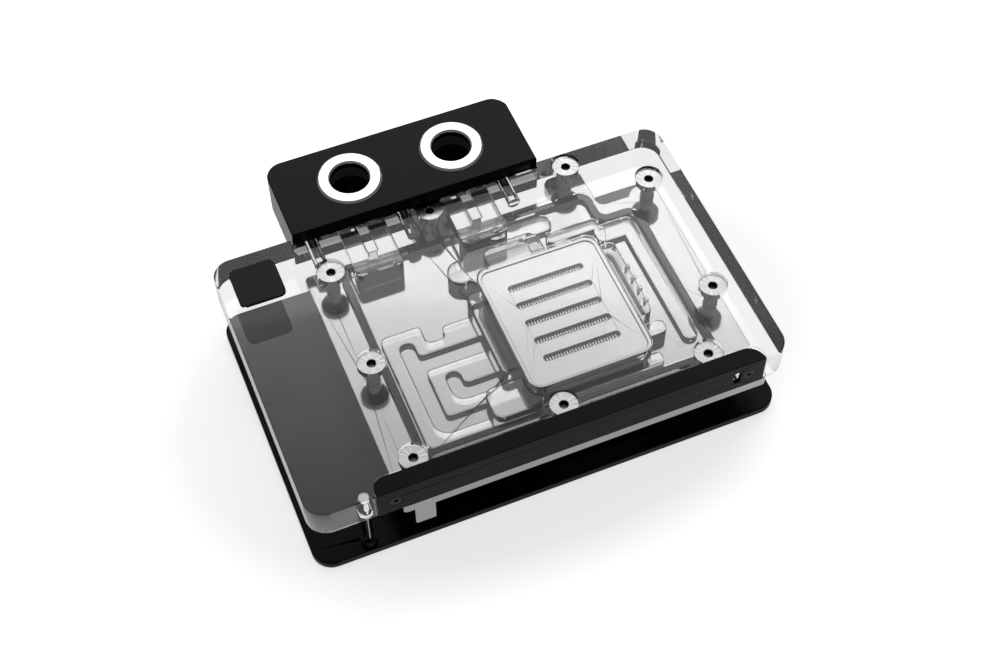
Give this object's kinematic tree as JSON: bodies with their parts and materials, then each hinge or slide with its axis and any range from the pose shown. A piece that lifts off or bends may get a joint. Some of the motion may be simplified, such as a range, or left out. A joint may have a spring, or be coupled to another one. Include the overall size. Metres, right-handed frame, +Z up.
{
  "type": "gpu water block",
  "caption": "Flat liquid cooling block for a graphics board: clear top plate with milled channels, nickel cold plate, rear port terminal, front light strip and black backplate.",
  "frame": {"origin": "centre of the backplate's underside, the face that the block rests on", "axes": "+X along the long side to the right, +Y to the rear with the port terminal, +Z up through the clear top plate"},
  "size_m": [0.145, 0.118, 0.0359],
  "materials": {
    "acrylic_top": "clear polished acrylic",
    "cold_plate": "satin nickel plating on copper",
    "jet_plate": "satin stainless sheet",
    "main_seal": "matte sealing cord",
    "cover_screws": "turned nickel-plated steel",
    "terminal_body": "satin black",
    "port_ring": "polished nickel",
    "terminal_seals": "matte sealing cord",
    "terminal_screws": "nickel-plated steel",
    "light_strip_cover": "satin black anodised",
    "led_board": "white solder resist",
    "led_lamps": "clear lamp resin",
    "strip_screws": "black oxide",
    "badge": "satin black, bare",
    "backplate": "satin black anodised",
    "backplate_spacers": "matte black",
    "backplate_screws": "black oxide",
    "plate_standoffs": "nickel-plated brass",
    "corner_post": "nickel-plated"
  },
  "bodies": {
    "root": {"acrylic_top": "acrylic_top", "cold_plate": "cold_plate", "jet_plate": "jet_plate", "main_seal": "main_seal", "cover_screws": "cover_screws", "terminal_body": "terminal_body", "port_ring_left": "port_ring", "port_ring_right": "port_ring", "terminal_seals": "terminal_seals", "terminal_screws": "terminal_screws", "light_strip_cover": "light_strip_cover", "led_board": "led_board", "led_lamps": "led_lamps", "strip_screws": "strip_screws", "badge": "badge", "backplate": "backplate", "backplate_spacers": "backplate_spacers", "backplate_screws": "backplate_screws", "plate_standoffs": "plate_standoffs", "corner_post": "corner_post"}
  },
  "joints": []
}
